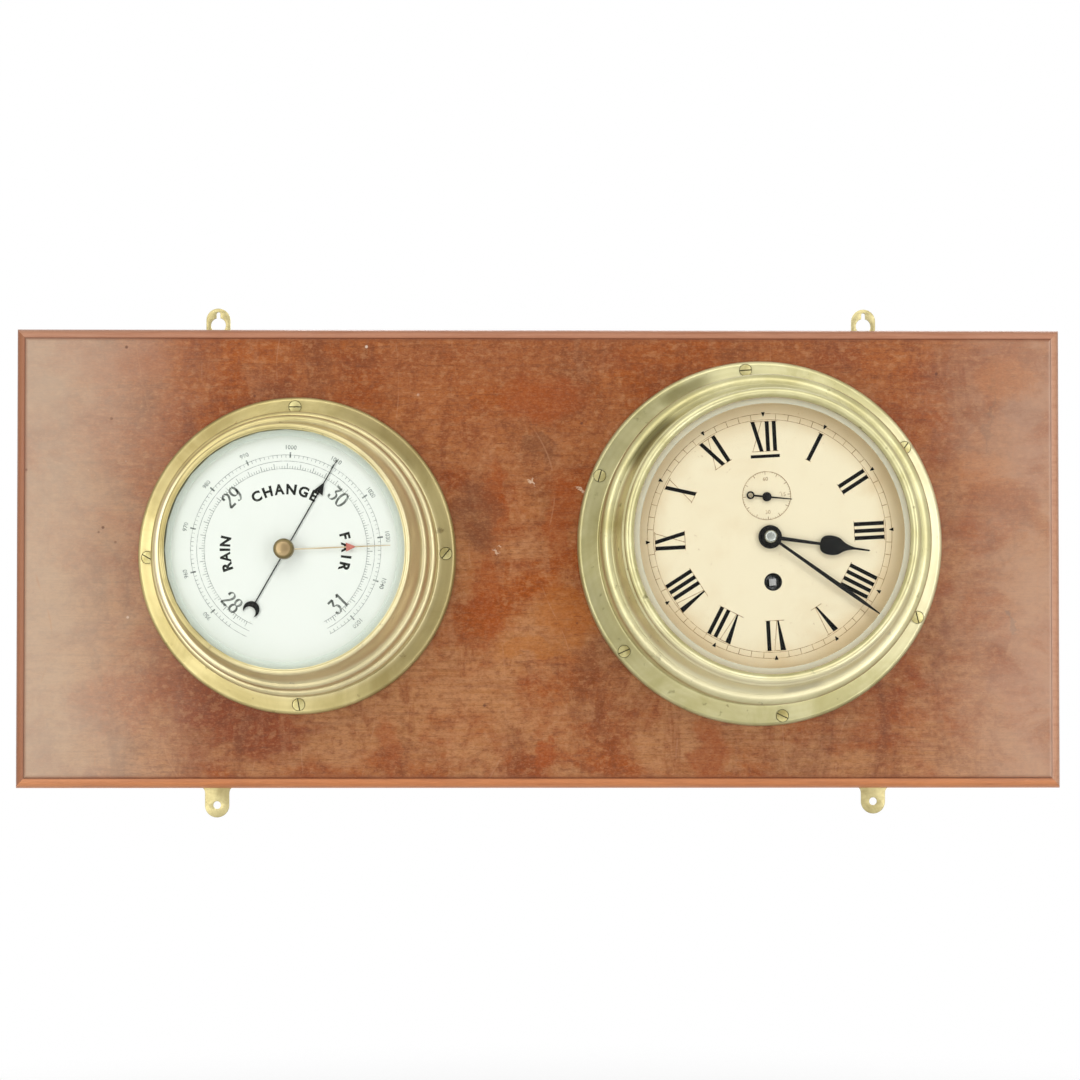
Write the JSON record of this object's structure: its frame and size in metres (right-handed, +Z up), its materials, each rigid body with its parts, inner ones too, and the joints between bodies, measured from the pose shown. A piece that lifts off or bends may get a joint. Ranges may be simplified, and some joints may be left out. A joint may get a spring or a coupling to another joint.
{
  "type": "ship's bulkhead clock and barometer set",
  "caption": "Brass ship's clock with lever movement and brass aneroid barometer, side by side on a moulded mahogany board that hangs on a bulkhead.",
  "frame": {"origin": "centre of the board's back face, on the wall plane", "axes": "+X to the right as the dials are seen, +Y into the wall, +Z up; the dials face -Y"},
  "size_m": [0.587, 0.0873, 0.289],
  "materials": {
    "mahogany": "polished and worn",
    "plate_brass": "tarnished",
    "screw_brass": "tarnished",
    "clock_brass": "polished",
    "barometer_brass": "lacquered",
    "clock_dial_paint": "matt cream",
    "barometer_dial_paint": "satin white",
    "glass": "bevelled",
    "black_hands": "blackened",
    "movement_brass": "satin",
    "steel": "satin",
    "capsule_metal": "satin"
  },
  "bodies": {
    "board_and_cases": {"mahogany_board": "mahogany", "keyhole_hanger_left": "plate_brass", "keyhole_hanger_right": "plate_brass", "screw_ear_left": "plate_brass", "screw_ear_right": "plate_brass", "clock_flange_screw_1": "screw_brass", "clock_flange_screw_2": "screw_brass", "clock_flange_screw_3": "screw_brass", "clock_flange_screw_4": "screw_brass", "clock_flange_screw_5": "screw_brass", "clock_flange_screw_6": "screw_brass", "barometer_flange_screw_1": "screw_brass", "barometer_flange_screw_2": "screw_brass", "barometer_flange_screw_3": "screw_brass", "barometer_flange_screw_4": "screw_brass", "clock_case": "clock_brass", "clock_dial": "clock_dial_paint", "front_plate": "movement_brass", "back_plate": "movement_brass", "click_spring": "steel", "hairspring": "steel", "barometer_case": "barometer_brass", "barometer_bezel": "barometer_brass", "barometer_glass": "glass", "barometer_dial": "barometer_dial_paint", "aneroid_base": "movement_brass", "aneroid_capsule": "capsule_metal", "arbor_bridge": "movement_brass"},
    "bezel_slide": {"clock_glass_ring": "clock_brass"},
    "screw_bezel": {"clock_bezel": "clock_brass", "clock_glass": "glass"},
    "minute_hand_on_cannon": {"cannon_pinion": "steel", "minute_hand": "black_hands", "hand_nut": "steel"},
    "minute_wheel": {"minute_wheel": "movement_brass"},
    "hour_hand_on_wheel": {"hour_wheel": "movement_brass", "hour_hand": "black_hands"},
    "fourth_wheel_with_seconds": {"fourth_wheel": "movement_brass", "seconds_hand": "black_hands"},
    "escape_wheel": {"escape_wheel": "movement_brass"},
    "third_wheel": {"third_wheel": "movement_brass"},
    "centre_wheel": {"centre_wheel": "movement_brass"},
    "intermediate_wheel": {"intermediate_wheel": "movement_brass"},
    "barrel_with_spring": {"mainspring_barrel": "movement_brass", "mainspring": "steel"},
    "winding_arbor_with_ratchet": {"winding_arbor": "steel", "ratchet_wheel": "steel"},
    "click": {"click": "steel"},
    "pallet_lever": {"pallet_lever": "steel"},
    "balance_wheel": {"balance_wheel": "movement_brass"},
    "pressure_hand_on_arbor": {"pressure_hand": "black_hands", "pointer_arbor": "steel"},
    "rocking_bar": {"rocking_bar": "steel"},
    "leaf_spring_with_lever": {"capsule_spring": "steel", "main_lever": "movement_brass"},
    "pointer_chain": {"pointer_chain": "steel"},
    "set_hand_on_knob": {"set_knob": "barometer_brass", "set_hand": "barometer_brass"}
  },
  "joints": [
    {"name": "bezel_lift", "type": "slide", "parent": "board_and_cases", "child": "bezel_slide", "axis": [0, -1, 0], "range_m": [0, 0.0075]},
    {"name": "bezel_unscrew", "type": "hinge", "parent": "bezel_slide", "child": "screw_bezel", "pos_m": [0.12339, -0.0193, 0.008], "axis": [0, -1, 0], "range_deg": [0, 1800]},
    {"name": "minute_hand_turn", "type": "hinge", "parent": "board_and_cases", "child": "minute_hand_on_cannon", "pos_m": [0.12339, -0.0193, 0.008], "axis": [0, 1, 0], "continuous": true},
    {"name": "minute_wheel_turn", "type": "hinge", "parent": "board_and_cases", "child": "minute_wheel", "pos_m": [0.1133, -0.0193, 0.01286], "axis": [0, 1, 0], "continuous": true},
    {"name": "hour_hand_turn", "type": "hinge", "parent": "board_and_cases", "child": "hour_hand_on_wheel", "pos_m": [0.12339, -0.0193, 0.008], "axis": [0, 1, 0], "continuous": true},
    {"name": "seconds_turn", "type": "hinge", "parent": "board_and_cases", "child": "fourth_wheel_with_seconds", "pos_m": [0.12177, -0.0193, 0.02954], "axis": [0, 1, 0], "continuous": true},
    {"name": "escape_turn", "type": "hinge", "parent": "board_and_cases", "child": "escape_wheel", "pos_m": [0.11137, -0.0193, 0.03246], "axis": [0, 1, 0], "continuous": true},
    {"name": "third_turn", "type": "hinge", "parent": "board_and_cases", "child": "third_wheel", "pos_m": [0.12902, -0.0193, 0.02034], "axis": [0, 1, 0], "continuous": true},
    {"name": "centre_turn", "type": "hinge", "parent": "board_and_cases", "child": "centre_wheel", "pos_m": [0.12339, -0.0193, 0.008], "axis": [0, 1, 0], "continuous": true},
    {"name": "intermediate_turn", "type": "hinge", "parent": "board_and_cases", "child": "intermediate_wheel", "pos_m": [0.14222, -0.0193, 0.00258], "axis": [0, 1, 0], "continuous": true},
    {"name": "barrel_turn", "type": "hinge", "parent": "board_and_cases", "child": "barrel_with_spring", "pos_m": [0.12519, -0.0193, -0.01593], "axis": [0, 1, 0], "continuous": true},
    {"name": "winding", "type": "hinge", "parent": "board_and_cases", "child": "winding_arbor_with_ratchet", "pos_m": [0.12519, -0.0193, -0.01593], "axis": [0, 1, 0], "range_deg": [0, 1920]},
    {"name": "click_lift", "type": "hinge", "parent": "board_and_cases", "child": "click", "pos_m": [0.1384, -0.0193, -0.01434], "axis": [0, -1, 0], "range_deg": [0, 12]},
    {"name": "lever_rock", "type": "hinge", "parent": "board_and_cases", "child": "pallet_lever", "pos_m": [0.10536, -0.0193, 0.02975], "axis": [0, 1, 0], "range_deg": [-3.5, 3.5]},
    {"name": "balance_swing", "type": "hinge", "parent": "board_and_cases", "child": "balance_wheel", "pos_m": [0.09547, -0.0193, 0.02528], "axis": [0, 1, 0], "range_deg": [-110, 110]},
    {"name": "pressure_hand_turn", "type": "hinge", "parent": "board_and_cases", "child": "pressure_hand_on_arbor", "pos_m": [-0.13501, -0.0193, 0.001], "axis": [0, 1, 0], "range_deg": [-185, 115]},
    {"name": "rocker_rock", "type": "hinge", "parent": "board_and_cases", "child": "rocking_bar", "pos_m": [-0.10201, -0.0421, 0.001], "axis": [0, 0, -1], "range_deg": [-25.5, 16]},
    {"name": "leaf_flex", "type": "hinge", "parent": "board_and_cases", "child": "leaf_spring_with_lever", "pos_m": [-0.17891, -0.0244, 0.001], "axis": [0, 0, 1], "range_deg": [-0.75, 0.5]},
    {"name": "chain_pull", "type": "slide", "parent": "board_and_cases", "child": "pointer_chain", "axis": [-1, 0, 0], "range_m": [-0.0046, 0.0029]},
    {"name": "set_hand_turn", "type": "hinge", "parent": "board_and_cases", "child": "set_hand_on_knob", "pos_m": [-0.13501, -0.0193, 0.001], "axis": [0, 1, 0], "continuous": true}
  ],
  "couplings": [
    {"joint": "bezel_lift", "follows": "bezel_unscrew", "m_per_rad": 0.0002387},
    {"joint": "minute_wheel_turn", "follows": "minute_hand_turn", "ratio": -0.33333},
    {"joint": "hour_hand_turn", "follows": "minute_hand_turn", "ratio": 0.083333},
    {"joint": "escape_turn", "follows": "seconds_turn", "ratio": -8},
    {"joint": "third_turn", "follows": "seconds_turn", "ratio": -0.13333},
    {"joint": "centre_turn", "follows": "seconds_turn", "ratio": 0.016667},
    {"joint": "intermediate_turn", "follows": "seconds_turn", "ratio": -0.0027778},
    {"joint": "barrel_turn", "follows": "seconds_turn", "ratio": 0.00046296},
    {"joint": "rocker_rock", "follows": "pressure_hand_turn", "ratio": 0.1346},
    {"joint": "leaf_flex", "follows": "pressure_hand_turn", "ratio": 0.0038},
    {"joint": "chain_pull", "follows": "pressure_hand_turn", "m_per_rad": 0.0014}
  ]
}
